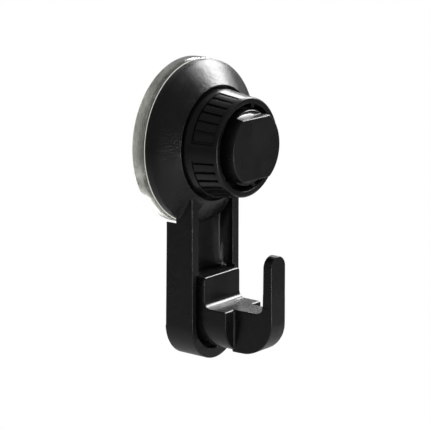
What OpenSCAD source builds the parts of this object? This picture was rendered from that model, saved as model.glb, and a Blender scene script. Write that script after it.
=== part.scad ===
// Twist-lock suction cup hook for a smooth wall.
// A clear suction pad is drawn into a hollow dome by a threaded spindle when the ribbed knob is turned.
// The dome runs down into a channelled arm, and a separate hook is screwed into the foot of the channel.
// Frame: the sealing face of the pad lies in the plane Y = 0, the wall is on the +Y side, +Z is up.
// Every depth below is measured from the wall plane outwards, along -Y. Millimetres.

/* [Suction pad] */
// Radius of the pad at its sealing face
pad_r = 30; // [28:0.5:36]
// Thickness of the pad under the dome's rim
pad_rim_t = 5.3; // [4.5:0.1:6]
// Thickness of the pad's flexible web
pad_web_t = 3.2; // [2.6:0.1:3.8]
// Radius of the thick boss in the middle of the pad
pad_boss_r = 13; // [12.4:0.1:13.4]
// Depth of the boss's face
pad_boss_depth = 7.8; // [7.2:0.1:8]
// How far the pad stands out past the dome's rim
pad_proud = 0.5; // [0.2:0.1:1.5]
// Rounding of the pad's outer front edge
pad_round = 0.8; // [0.4:0.1:1.2]
// Rounding of the edge of the pad's sealing face
pad_lip = 0.4; // [0.2:0.1:0.8]
// Width of the slope between the pad's rim and its web
pad_slope_w = 2.5; // [1.5:0.1:4]
// Clearance of the moulded pad round the spindle
pad_grip = 0.05; // [0:0.01:0.1]

/* [Dome] */
// Height of the dome's cylindrical rim band
rim_band = 3.1; // [2.5:0.1:4]
// Radial width of the bevel above the rim band
bevel_w = 1.9; // [1:0.1:3]
// Rise of the bevel
bevel_rise = 1.7; // [0.8:0.1:2]
// Radial width of the lip between the dome's cone and the knob's recess
lip_w = 0.35; // [0.2:0.05:1]
// Height of that lip above the dome's rim
dome_h = 9.4; // [8.6:0.1:10.5]
// Depth of the knob's recess below that lip
recess_sink = 1.8; // [1.4:0.1:2.2]
// Wall of the dome
dome_wall = 2.1; // [1.6:0.1:2.4]
// Number of stiffening ribs inside the dome
dome_ribs = 16; // [8:1:24]
// Thickness of every stiffening rib of the housing
rib_t = 1.4; // [1:0.1:2]
// Height above the dome's rim at which the ribs inside it begin
dome_rib_gap = 1.1; // [0.7:0.1:1.7]
// Radius of the collar that the knob's web bears on
collar_r = 10.6; // [10:0.1:11]
// Gap round the pad's boss inside the dome's guide ring
guide_gap = 0.6; // [0.3:0.1:1]

/* [Arm] */
// Width of the arm
arm_w = 27.3; // [24:0.1:30]
// Height of the arm's bottom centre below the cup's axis
arm_drop = 66.1; // [60:0.1:80]
// Height of the rails' front faces above the dome's rim
arm_h = 8.35; // [7.5:0.05:9]
// Distance of the arm's back edge from the wall, under the cup
arm_back = 1.9; // [1.6:0.1:2.5]
// How much closer to the wall the arm's back edge comes at its foot
arm_lean = 0.6; // [0:0.1:0.8]
// Height of the channel's floor above the dome's rim
floor_h = 2.3; // [1.7:0.1:2.7]
// Thickness of the channel's floor
floor_t = 2.2; // [1.6:0.1:2.4]
// Width of the open channel above the hook
channel_w = 19.5; // [17:0.5:21]
// Wall round the hollow back of the arm
arm_wall = 2.2; // [1.6:0.1:2.6]
// Distance of the rails' upper ends from the dome's lip
rail_stop = 1; // [0.5:0.1:2]
// Gap between the pad and the arm's shoulder
shoulder_gap = 1.1; // [0.8:0.1:2]
// Height of the arm's shoulder above the dome's rim
shoulder_h = 0.9; // [0.6:0.1:1.1]
// Height of the heel that meets the wall when the hook is loaded
heel_h = 0.2; // [0.1:0.1:0.7]
// Distance of the heel's top edge below the bottom centre
heel_drop = 0.6; // [0:0.1:3]
// Spacing of the cross ribs behind the arm
cross_rib_pitch = 9.6; // [8:0.2:12]
// Chamfer along the arm's outer front edge
arm_edge = 0.3; // [0.2:0.05:0.7]

/* [Knob] */
// Radius of the knob at its front ring
knob_front_r = 17.8; // [17.2:0.05:18.6]
// How much larger the knob's radius is at the back of its flange
knob_flare = 2.2; // [1.5:0.05:3]
// Radial gap between the knob's flange and the dome's lip
knob_gap = 0.6; // [0.4:0.05:1]
// Running gap between the back of the knob and the recess's floor
knob_float = 0.3; // [0.2:0.05:0.5]
// Height of the knob from back to front
knob_h = 14.85; // [13:0.05:16]
// Length of the smooth flange at the back of the knob
flange_l = 4.6; // [3.6:0.1:5.5]
// Length of the smooth collar at the front of the knob
ring_l = 1.3; // [1:0.1:3]
// Wall of the front ring
ring_wall = 2.2; // [1.6:0.1:2.6]
// Draft of the knob's inner walls, as a change of radius
knob_draft = 0.3; // [0.1:0.05:0.5]
// Chamfer on the edges of the front ring
ring_edge = 0.4; // [0.15:0.05:0.6]
// Number of ribbed grip panels
panel_count = 4; // [3:1:6]
// Number of grip ribs in one panel
panel_ribs = 6; // [4:1:8]
// Angle of one rib pitch
rib_pitch_deg = 11.25; // [8:0.25:12]
// Depth of the panels below the knob's smooth surface
panel_sink = 0.9; // [0.6:0.05:1.4]
// Height of the grip ribs above the panel
grip_rib_h = 0.8; // [0.3:0.05:1.1]
// Width of the grip ribs at their top
grip_rib_w = 2.5; // [1.4:0.05:2.8]
// How much wider each side of a grip rib is at its foot
grip_rib_draft = 0.2; // [0.05:0.05:0.4]
// Angle of the groove between a panel's last rib and the smooth surface
panel_end_deg = 3; // [2:0.25:5]
// Depth of the knob's web below its front ring
web_sink = 6.35; // [5.5:0.05:6.8]
// Thickness of the knob's web
web_t = 1.8; // [1.4:0.1:1.9]
// Radius of the nut boss on the knob's web
nut_r = 11.3; // [10.5:0.1:12]
// Height of the nut boss above the web
nut_h = 2; // [1:0.1:2.2]
// Number of ribs on the inner wall of the front ring
pip_count = 5; // [3:1:8]
// Width of those ribs
pip_w = 1.8; // [0.8:0.1:2.4]
// Height of those ribs
pip_h = 1.35; // [0.4:0.05:1.5]
// Distance of those ribs below the front ring's face
pip_drop = 1.2; // [0.4:0.1:3]
// Angle of the first of those ribs
pip_start_deg = 73; // [0:1:90]

/* [Spindle and cap] */
// Outer radius of the spindle's thread
spindle_r = 8; // [7:0.1:8.6]
// Distance across the two flats that stop the spindle turning
key_across = 13.4; // [12:0.1:13.9]
// Radial running clearance of the spindle in the housing
key_clear = 0.1; // [0.05:0.01:0.1]
// Radial running clearance between knob and spindle
run_clear = 0.08; // [0.04:0.01:0.1]
// Radius of the spindle's flange inside the pad
anchor_r = 11; // [10:0.1:11.4]
// Thickness of that flange
anchor_t = 1.8; // [1.4:0.1:2.2]
// Depth of the back of that flange
anchor_depth = 4; // [3.4:0.1:4.4]
// Radius of the hollow inside the spindle
spindle_bore_r = 5; // [4:0.1:5.4]
// Gap round the cap inside the knob's front ring
cap_ring_gap = 2.1; // [1.7:0.1:3]
// Gap between the knob's nut boss and the cap
cap_gap = 0.7; // [0.4:0.1:1.2]
// Height of the cap's round skirt
cap_skirt = 4.2; // [3.4:0.1:4.8]
// Height of the flatted part of the cap above that skirt
cap_key_h = 3.5; // [2.8:0.1:4.4]
// Depth to which each flat is cut into the cap at its face
cap_flat = 2.4; // [1.4:0.1:3.4]
// How much less deep each flat is at the skirt
cap_draft = 0.25; // [0:0.05:0.5]
// Thickness of the cap's face
cap_wall = 2.4; // [1.8:0.1:3]
// Chamfer on the cap's edges
cap_edge = 0.25; // [0.15:0.05:0.6]

/* [Hook] */
// Width of the hook's base and shelf
hook_w = 20.8; // [19:0.2:21.4]
// Gap between the hook's base and the walls of its pocket
pocket_gap = 0.65; // [0.4:0.05:1]
// Height of the hook's bottom centre above the arm's
hook_lift = 1.9; // [0.8:0.1:3]
// Height of the plate above that centre
plate_rise = 16.85; // [14:0.05:20]
// Thickness of the plate, with the base behind it
plate_t = 8.95; // [8:0.05:11]
// Rounding of the plate's upper corners
plate_corner = 1.4; // [0.4:0.1:2]
// Height of the shelf above the bottom centre
shelf_rise = 5.7; // [3:0.1:7]
// Reach of the wide shelf from the channel's floor
shelf_reach = 18.7; // [15:0.1:22]
// Fillet between plate and shelf
shelf_fillet = 2.4; // [0.6:0.1:3]
// Width of the narrow arm where it leaves the shelf
neck_w = 10.4; // [9:0.1:12]
// Width of the tip
tip_w = 8.6; // [7:0.1:10]
// Reach of the tip's front face from the channel's floor
tip_reach = 34.5; // [30:0.1:42]
// Thickness of the tip at its foot
tip_t = 4; // [3:0.1:5]
// How far each face of the tip leans in at its top
tip_draft = 0.25; // [0:0.05:0.6]
// Fillet between the narrow arm and the tip
throat_fillet = 2.5; // [1:0.1:4]
// Radius of the hook's outer bend
bend_r = 12.6; // [8:0.1:13.2]
// Height of the tip's top above the bottom centre
tip_rise = 26.8; // [20:0.1:34]
// Fillet between the shelf's front face and the sides of the narrow arm
neck_fillet = 0.6; // [0.3:0.1:1]
// Height of the narrow arm's underside above the foot of the hook's base
neck_lift = 0.3; // [0.1:0.1:0.8]
// Chamfer on the hook's edges
hook_edge = 0.4; // [0.2:0.05:0.6]

/* [Screws] */
// Height of the lower screw above the hook's foot
screw_edge = 7.9; // [6.5:0.1:10]
// Distance between the two screws
screw_pitch = 12; // [9:0.5:14]
// Radius of the screw's thread
screw_r = 1.5; // [1.2:0.05:1.8]
// Radius of the pilot hole in the hook
pilot_r = 1.3; // [1:0.05:1.5]
// Radial clearance of the screw in the housing
screw_clear = 0.25; // [0.15:0.05:0.4]
// Radius of the screw's head
head_r = 2.8; // [2.4:0.1:3]
// Height of the screw's head
head_h = 1.6; // [1.2:0.1:1.8]
// Radial clearance round the screw's head
head_clear = 0.3; // [0.2:0.05:0.5]
// Width of the cross recess in the screw's head
drive_w = 0.7; // [0.5:0.1:1]
// Length of that recess
drive_l = 3.4; // [2.6:0.1:4]
// Depth of that recess
drive_depth = 0.8; // [0.5:0.1:1.1]
// Depth to which the pilot hole runs past the screw's point
pilot_spare = 0.5; // [0.3:0.1:1]
// Length of thread in the hook
screw_grip = 6.5; // [5:0.1:7]
// Wall of the boss round each screw
boss_wall = 1.3; // [1:0.1:1.8]
// Height of that boss behind the channel's floor
boss_h = 1.2; // [0.8:0.1:1.6]

/* [Hidden] */
$fn = 96;
// Overrun of a cut past the face that it opens
over = 1;
// Depth to which a rib runs into the wall that carries it
root = 0.4;

rim_r = pad_r - pad_proud;
rim_back = pad_rim_t;
lip_depth = rim_back + dome_h;
recess_depth = lip_depth - recess_sink;
dome_rib_depth = rim_back + dome_rib_gap;
knob_rear_r = knob_front_r + knob_flare;
band_front = rim_back + rim_band;
bevel_r = rim_r - bevel_w;
bevel_front = band_front + bevel_rise;
recess_r = knob_rear_r + knob_gap;
lip_r = recess_r + lip_w;
cone_deg = atan2(lip_depth - bevel_front, bevel_r - lip_r);
hollow_r = rim_r - dome_wall;
hollow_front = recess_depth - dome_wall;
function cone_inside(depth) = bevel_r - (depth - bevel_front) / tan(cone_deg) - dome_wall / sin(cone_deg);
hollow_side = bevel_front + (bevel_r - dome_wall / sin(cone_deg) - hollow_r) * tan(cone_deg);
guide_r = pad_boss_r + guide_gap;

arm_r = arm_w / 2;
arm_front = rim_back + arm_h;
floor_front = rim_back + floor_h;
shoulder_depth = rim_back + shoulder_h;
rail_top = sqrt(pow(lip_r + rail_stop, 2) - pow(arm_r, 2));
clear_r = pad_r + shoulder_gap;
floor_back = floor_front - floor_t;
heel_back = arm_back - arm_lean - heel_h;
hook_drop = arm_drop - hook_lift;
pocket_r = hook_w / 2 + pocket_gap;
pocket_drop = hook_drop + pocket_gap;
pocket_top = hook_drop - plate_rise - pocket_gap;

knob_back = recess_depth + knob_float;
knob_front = knob_back + knob_h;
web_depth = knob_front - web_sink;
function knob_r(depth) = knob_rear_r - (depth - knob_back) / knob_h * (knob_rear_r - knob_front_r);
knob_taper = atan2(knob_rear_r - knob_front_r, knob_h);
grip_back = knob_back + flange_l;
grip_front = knob_front - ring_l;
ring_r = knob_front_r - ring_wall;
skirt_r = knob_r(web_depth) - panel_sink - ring_wall;
panel_deg = panel_ribs * rib_pitch_deg + panel_end_deg;
bore_r = spindle_r + run_clear;
web_back = web_depth - web_t;
collar_depth = web_back - knob_float;

cap_r = ring_r - cap_ring_gap;
cap_back = web_depth + nut_h + cap_gap;
cap_ledge = cap_back + cap_skirt;
cap_front = cap_ledge + cap_key_h;
spindle_front = cap_front - cap_wall;

plate_depth = floor_front + plate_t;
shelf_depth = floor_front + shelf_reach;
tip_front = floor_front + tip_reach;
screw_low = -hook_drop - hook_w / 2 + screw_edge;
shelf_up = -hook_drop + shelf_rise;
neck_back = shelf_depth - over;
screw_seat = floor_back - boss_h;
head_hole_r = head_r + head_clear;

// Turns a shape whose z is depth and whose y is height into the part's frame
module upright() {
    rotate([90, 0, 0]) children();
}

// Extrudes a side view, drawn as depth against height, across the width w
module across(w) {
    rotate([0, -90, 0]) linear_extrude(height = w, center = true) children();
}

// A bar of height up to "top" with a half-round foot, as an outline in front view
module tongue_outline(r, drop, top) {
    translate([0, -drop]) circle(r);
    translate([-r, -drop]) square([2 * r, drop - top]);
}

// A ring of square section on edge that chamfers a half-round foot, and two bars for its straight sides
module outline_chamfer(r, drop, top, depth, c) {
    side = c * sqrt(2);
    translate([0, -drop, depth])
        rotate([0, 0, 180])
            rotate_extrude(angle = 180) translate([r, 0]) rotate(45) square(side, center = true);
    for (s = [-1, 1])
        translate([s * r, -drop, depth])
            rotate([-90, 0, 0]) linear_extrude(height = drop - top) rotate(45) square(side, center = true);
}

module suction_pad() {
    land_r = rim_r + pad_proud / 2;
    seat_r = hollow_r - pad_round;
    boss_draft = pad_round / 2;
    boss_fillet = 2 * pad_round;
    color([0.82, 0.84, 0.76, 0.55]) upright() difference() {
        rotate_extrude() polygon([
            [0, 0], [pad_r - pad_lip, 0], [pad_r, pad_lip], [pad_r, pad_rim_t - 2 * pad_round],
            [land_r, pad_rim_t], [seat_r, pad_rim_t], [seat_r - pad_slope_w, pad_web_t],
            [pad_boss_r + boss_fillet, pad_web_t], [pad_boss_r, pad_web_t + boss_fillet],
            [pad_boss_r - boss_draft, pad_boss_depth], [0, pad_boss_depth]
        ]);
        translate([0, 0, anchor_depth - pad_grip])
            cylinder(r = anchor_r + pad_grip, h = anchor_t + 2 * pad_grip);
        translate([0, 0, anchor_depth]) cylinder(r = spindle_r + pad_grip, h = pad_boss_depth);
    }
}

module spindle() {
    color([0.09, 0.09, 0.09]) upright() difference() {
        union() {
            translate([0, 0, anchor_depth]) cylinder(r = anchor_r, h = anchor_t);
            intersection() {
                translate([0, 0, anchor_depth]) cylinder(r = spindle_r, h = spindle_front - anchor_depth);
                translate([-spindle_r - over, -key_across / 2, anchor_depth])
                    cube([2 * (spindle_r + over), key_across, spindle_front]);
            }
        }
        translate([0, 0, anchor_depth + 2 * anchor_t]) cylinder(r = spindle_bore_r, h = spindle_front);
    }
}

// Solid dome with its rim band, bevel and cone
module dome_shape() {
    rotate_extrude() polygon([
        [0, rim_back], [rim_r, rim_back], [rim_r, band_front], [bevel_r, bevel_front],
        [lip_r, lip_depth], [0, lip_depth]
    ]);
}

// Space inside the dome
module dome_hollow() {
    rotate_extrude() polygon([
        [0, rim_back - over], [hollow_r, rim_back - over], [hollow_r, hollow_side],
        [cone_inside(hollow_front), hollow_front], [0, hollow_front]
    ]);
}

// Arm with its channel, pocket and hollow back, before the dome joins it
module arm_shape() {
    foot = -arm_drop - arm_w;
    heel_top = -arm_drop - heel_drop;
    difference() {
        intersection() {
            linear_extrude(height = arm_front) tongue_outline(arm_r, arm_drop, rail_top);
            across(arm_w + over) polygon([
                [arm_back, 0], [arm_front + over, 0], [arm_front + over, foot], [heel_back, foot],
                [heel_back, heel_top], [heel_back + heel_h, heel_top], [arm_back, -clear_r]
            ]);
        }
        cylinder(r = clear_r, h = 2 * shoulder_depth, center = true);
        translate([-channel_w / 2, -pocket_top - over, floor_front]) cube([channel_w, arm_drop, arm_front]);
        translate([0, 0, floor_front])
            linear_extrude(height = arm_front) tongue_outline(pocket_r, pocket_drop, pocket_top);
        difference() {
            translate([0, 0, -over])
                linear_extrude(height = floor_back + over)
                    tongue_outline(arm_r - arm_wall, arm_drop, rail_top);
            cylinder(r = clear_r + arm_wall, h = 3 * floor_back, center = true);
        }
        outline_chamfer(arm_r, arm_drop, rail_top, arm_front, arm_edge);
    }
}

// Ribs and screw bosses behind the arm's floor
module arm_back_ribs() {
    rib_top = -clear_r - arm_wall / 2;
    rib_low = -arm_drop - arm_r + arm_wall / 2;
    rib_back = arm_back + root / 2;
    rib_h = floor_back + root - rib_back;
    inside = arm_w - 2 * arm_wall + 2 * root;
    intersection() {
        union() {
            translate([-rib_t / 2, rib_low, rib_back]) cube([rib_t, rib_top - rib_low, rib_h]);
            for (y = [rib_top - cross_rib_pitch : -cross_rib_pitch : rib_low + cross_rib_pitch / 2])
                translate([-inside / 2, y - rib_t / 2, rib_back]) cube([inside, rib_t, rib_h]);
        }
        translate([0, 0, -over]) linear_extrude(height = floor_front + over)
            tongue_outline(arm_r - arm_wall / 2, arm_drop, rail_top);
    }
    for (y = screw_heights())
        translate([0, y, screw_seat])
            cylinder(r = head_hole_r + boss_wall, h = floor_back - screw_seat + root);
}

function screw_heights() = [screw_low, screw_low + screw_pitch];

// Ribs inside the dome and the ring that guides the pad's boss
module dome_inner_ribs() {
    intersection() {
        union() {
            for (i = [0 : dome_ribs - 1])
                rotate([0, 0, (i + 0.5) * 360 / dome_ribs])
                    translate([guide_r + root, -rib_t / 2, dome_rib_depth])
                        cube([hollow_r - guide_r, rib_t, recess_depth - dome_rib_depth]);
            difference() {
                translate([0, 0, dome_rib_depth])
                    cylinder(r = guide_r + rib_t, h = recess_depth - dome_rib_depth - dome_wall / 2);
                cylinder(r = guide_r, h = 2 * recess_depth);
            }
        }
        rotate_extrude() polygon([
            [guide_r, dome_rib_depth], [hollow_r + root, dome_rib_depth], [hollow_r + root, hollow_side],
            [cone_inside(hollow_front) + root, hollow_front + root], [guide_r, hollow_front + root]
        ]);
    }
}

module housing() {
    key_r = spindle_r + key_clear;
    key_half = key_across / 2 + key_clear;
    color([0.1, 0.1, 0.1]) upright() difference() {
        union() {
            difference() {
                union() {
                    dome_shape();
                    arm_shape();
                }
                dome_hollow();
                translate([0, 0, recess_depth]) cylinder(r = recess_r, h = arm_front);
            }
            dome_inner_ribs();
            arm_back_ribs();
            translate([0, 0, hollow_front]) cylinder(r = collar_r, h = collar_depth - hollow_front);
        }
        intersection() {
            translate([0, 0, rim_back]) cylinder(r = key_r, h = collar_depth);
            translate([-2 * key_r, -key_half, 0]) cube([4 * key_r, 2 * key_half, 2 * collar_depth]);
        }
        for (y = screw_heights()) {
            translate([0, y, -over]) cylinder(r = screw_r + screw_clear, h = floor_front + 2 * over);
            translate([0, y, -over]) cylinder(r = head_hole_r, h = screw_seat + over);
        }
    }
}

// One axial rib of the grip, standing on the panel and following the knob's taper
module grip_rib() {
    w = grip_rib_w / 2;
    foot_w = w + grip_rib_draft * (1 + root / grip_rib_h);
    foot = knob_r(grip_back) - panel_sink;
    rib_l = (grip_front - grip_back) / cos(knob_taper) + 2 * root;
    translate([foot, 0, grip_back])
        rotate([0, -knob_taper, 0])
            translate([0, 0, -root]) linear_extrude(height = rib_l)
                polygon([[-root, -foot_w], [grip_rib_h, -w], [grip_rib_h, w], [-root, foot_w]]);
}

// Space cut out of the knob's surface for one grip panel
module grip_panel() {
    rotate([0, 0, -panel_deg / 2]) rotate_extrude(angle = panel_deg) polygon([
        [knob_r(grip_back) - panel_sink, grip_back], [knob_rear_r + over, grip_back],
        [knob_rear_r + over, grip_front], [knob_r(grip_front) - panel_sink, grip_front]
    ]);
}

module knob() {
    edge_depth = knob_front - ring_edge;
    color([0.08, 0.08, 0.08]) upright() difference() {
        union() {
            difference() {
                rotate_extrude() polygon([
                    [0, web_back], [skirt_r, web_back], [skirt_r + knob_draft, knob_back],
                    [knob_rear_r, knob_back], [knob_r(edge_depth), edge_depth],
                    [knob_front_r - ring_edge, knob_front], [ring_r + ring_edge, knob_front],
                    [ring_r, edge_depth], [ring_r - knob_draft, web_depth], [0, web_depth]
                ]);
                for (i = [0 : panel_count - 1])
                    rotate([0, 0, (i + 0.5) * 360 / panel_count]) grip_panel();
            }
            for (i = [0 : panel_count - 1], k = [0 : panel_ribs - 1])
                rotate([0, 0, (i + 0.5) * 360 / panel_count + (k - (panel_ribs - 1) / 2) * rib_pitch_deg])
                    grip_rib();
            for (i = [0 : pip_count - 1])
                rotate([0, 0, pip_start_deg + i * 360 / pip_count])
                    translate([ring_r - pip_h, -pip_w / 2, web_depth - root])
                        cube([pip_h + root, pip_w, knob_front - web_depth - pip_drop + root]);
            translate([0, 0, web_back]) cylinder(r = nut_r, h = web_t + nut_h);
        }
        translate([0, 0, knob_back]) cylinder(r = bore_r, h = knob_h);
    }
}

module centre_cap() {
    face_y = cap_r - cap_flat;
    root_y = face_y + cap_draft;
    color([0.12, 0.12, 0.12]) upright() difference() {
        union() {
            rotate_extrude() polygon([
                [0, cap_back], [cap_r, cap_back], [cap_r, cap_ledge - cap_edge],
                [cap_r - cap_edge, cap_ledge], [0, cap_ledge]
            ]);
            intersection() {
                rotate_extrude() polygon([
                    [0, cap_ledge - over], [cap_r, cap_ledge - over], [cap_r, cap_front - cap_edge],
                    [cap_r - cap_edge, cap_front], [0, cap_front]
                ]);
                across(2 * cap_r) polygon([
                    [cap_ledge - over, -root_y], [cap_ledge, -root_y], [cap_front - cap_edge, -face_y],
                    [cap_front, cap_edge - face_y], [cap_front, face_y - cap_edge],
                    [cap_front - cap_edge, face_y], [cap_ledge, root_y], [cap_ledge - over, root_y]
                ]);
            }
        }
        intersection() {
            translate([0, 0, cap_back - over]) cylinder(r = spindle_r, h = spindle_front - cap_back + over);
            translate([-2 * spindle_r, -key_across / 2, cap_back - over])
                cube([4 * spindle_r, key_across, spindle_front - cap_back + over]);
        }
    }
}

// Front view of the hook's base: rounded upper corners and a half-round foot
module base_outline() {
    r = hook_w / 2;
    c = plate_corner;
    difference() {
        tongue_outline(r, hook_drop, hook_drop - plate_rise);
        for (s = [-1, 1])
            translate([s * (r - c), -hook_drop + plate_rise - c]) difference() {
                translate([s > 0 ? 0 : -c - over, 0]) square([c + over, c + over]);
                circle(c);
            }
    }
}

// Side view of the base, plate and shelf, as depth against height
module shelf_side() {
    top = -hook_drop + plate_rise;
    low = -hook_drop - hook_w;
    f = shelf_fillet;
    e = hook_edge;
    polygon([
        [floor_front, low], [shelf_depth, low], [shelf_depth, shelf_up - e], [shelf_depth - e, shelf_up],
        [plate_depth - over, shelf_up], [plate_depth - over, top], [floor_front, top]
    ]);
    polygon([
        [floor_front, shelf_up], [plate_depth, shelf_up], [plate_depth, top - e],
        [plate_depth - e, top], [floor_front, top]
    ]);
    difference() {
        translate([plate_depth - over, shelf_up - over]) square([f + over, f + over]);
        translate([plate_depth + f, shelf_up + f]) circle(f);
    }
}

// Side view of the narrow arm, its outer bend and the upright tip
module bend_side() {
    low = -hook_drop - hook_w / 2 + neck_lift;
    top = -hook_drop + tip_rise;
    c_in = throat_fillet;
    foot = tip_front - tip_t;
    bend_up = low + bend_r;
    difference() {
        union() {
            translate([neck_back, low]) square([tip_front - bend_r - neck_back, top - low]);
            polygon([
                [neck_back, bend_up], [tip_front, bend_up], [tip_front - tip_draft, top], [neck_back, top]
            ]);
            translate([tip_front - bend_r, bend_up]) circle(bend_r);
        }
        translate([neck_back - over, shelf_up])
            square([foot - c_in - neck_back + over, plate_rise + tip_rise]);
        polygon([
            [foot - c_in - over, shelf_up + c_in], [foot, shelf_up + c_in],
            [foot + tip_draft, top + over], [foot - c_in - over, top + over]
        ]);
        translate([foot - c_in, shelf_up + c_in]) circle(c_in);
    }
}

// Plan of the narrow arm, as depth against width, tapering towards the tip
module neck_plan() {
    n = neck_w / 2;
    t = tip_w / 2;
    e = hook_edge;
    polygon([
        [neck_back, -n], [shelf_depth, -n], [tip_front - e, -t], [tip_front, e - t], [tip_front + over, e - t],
        [tip_front + over, t - e], [tip_front, t - e], [tip_front - e, t], [shelf_depth, n], [neck_back, n]
    ]);
}

// Plan of the fillets between the shelf's front face and the narrow arm's tapering sides
module neck_fillet_plan() {
    n = neck_w / 2;
    f = neck_fillet;
    taper = atan2(n - tip_w / 2, tip_front - hook_edge - shelf_depth);
    out = n - f * tan(taper) + f / cos(taper);
    for (s = [-1, 1])
        difference() {
            polygon([
                [neck_back, s * out], [shelf_depth + f, s * out],
                [shelf_depth + f * (1 - sin(taper)), s * (out - f * cos(taper))], [neck_back, s * (n - f)]
            ]);
            translate([shelf_depth + f, s * out]) circle(f);
        }
}

module hook() {
    top = -hook_drop + tip_rise;
    low = -hook_drop - hook_w / 2;
    color([0.11, 0.11, 0.11]) upright() difference() {
        union() {
            intersection() {
                translate([0, 0, floor_front]) linear_extrude(height = shelf_depth) base_outline();
                across(hook_w + over) shelf_side();
            }
            intersection() {
                across(hook_w) bend_side();
                translate([0, low - over, 0]) rotate([0, -90, -90])
                    linear_extrude(height = top - low + 2 * over) neck_plan();
                linear_extrude(height = tip_front + over) union() {
                    translate([0, top - tip_w / 2]) circle(tip_w / 2);
                    translate([-tip_w / 2, -hook_drop]) square([tip_w, top - tip_w / 2 + hook_drop]);
                    translate([-neck_w, low - over])
                        square([2 * neck_w, shelf_up + throat_fillet - low + over]);
                }
            }
            intersection() {
                linear_extrude(height = tip_front) base_outline();
                translate([0, low - over, 0]) rotate([0, -90, -90])
                    linear_extrude(height = shelf_up - low + over) neck_fillet_plan();
            }
        }
        for (y = screw_heights())
            translate([0, y, floor_front - over]) cylinder(r = pilot_r, h = screw_grip + pilot_spare + over);
    }
}

// A self-tapping screw driven from behind the arm into the hook
module hook_screw(y) {
    color([0.62, 0.63, 0.65]) upright() translate([0, y, screw_seat]) difference() {
        union() {
            translate([0, 0, -head_h]) cylinder(r = head_r, h = head_h);
            cylinder(r = screw_r, h = floor_front - screw_seat + screw_grip);
        }
        for (a = [0, 90])
            rotate([0, 0, a])
                translate([-drive_l / 2, -drive_w / 2, -head_h - over])
                    cube([drive_l, drive_w, over + drive_depth]);
    }
}

suction_pad();
spindle();
housing();
knob();
centre_cap();
hook();
hook_screw(screw_heights()[1]);  // hook_screw_upper
hook_screw(screw_heights()[0]);  // hook_screw_lower
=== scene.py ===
"""Dresses a twist-lock suction cup hook: soft moulded edges, finishes, floor, light and camera.

Every length is in metres, in the part's own frame. The wall is the plane Y = 0, the axis of the cup
runs out of it along -Y, and +Z is up. A depth is a distance from the wall, so its Y is negative.
"""

import logging
import math
from dataclasses import dataclass, field
from enum import Enum
from typing import Callable, Sequence

import bmesh
import bpy
from mathutils import Matrix, Vector


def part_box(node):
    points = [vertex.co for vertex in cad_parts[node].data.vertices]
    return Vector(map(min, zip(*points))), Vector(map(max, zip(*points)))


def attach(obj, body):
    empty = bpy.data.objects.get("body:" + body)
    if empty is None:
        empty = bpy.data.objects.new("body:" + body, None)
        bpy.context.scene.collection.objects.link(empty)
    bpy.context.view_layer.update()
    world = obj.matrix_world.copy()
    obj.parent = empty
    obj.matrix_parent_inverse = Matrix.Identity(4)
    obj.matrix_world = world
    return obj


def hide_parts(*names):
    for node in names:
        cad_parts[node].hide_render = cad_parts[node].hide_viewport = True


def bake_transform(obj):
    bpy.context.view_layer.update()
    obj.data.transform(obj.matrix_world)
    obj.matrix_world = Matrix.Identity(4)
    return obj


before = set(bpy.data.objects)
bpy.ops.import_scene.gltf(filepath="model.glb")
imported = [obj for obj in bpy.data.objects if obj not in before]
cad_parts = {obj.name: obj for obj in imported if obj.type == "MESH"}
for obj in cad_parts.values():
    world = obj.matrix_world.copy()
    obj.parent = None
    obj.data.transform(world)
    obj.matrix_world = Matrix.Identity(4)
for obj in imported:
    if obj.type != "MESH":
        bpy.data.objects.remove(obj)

LOG = logging.getLogger("suction_cup_hook")
MM = 0.001

BASE = "base"
KNOB_BODY = "lock_knob"
SPINDLE_BODY = "spindle_and_cap"

Point = tuple[float, float]
Colour = tuple[float, float, float, float]


class Grain(Enum):
    """How the mould's surface was made, as the pitch of its texture in metres and its depth."""

    SPARK_ERODED = (0.56 * MM, 0.105 * MM)
    SATIN = (0.22 * MM, 0.006 * MM)
    MATT = (0.16 * MM, 0.010 * MM)

    @property
    def pitch(self) -> float:
        """Distance between the texture's bumps."""
        return self.value[0]

    @property
    def depth(self) -> float:
        """Height of the texture's bumps."""
        return self.value[1]


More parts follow.
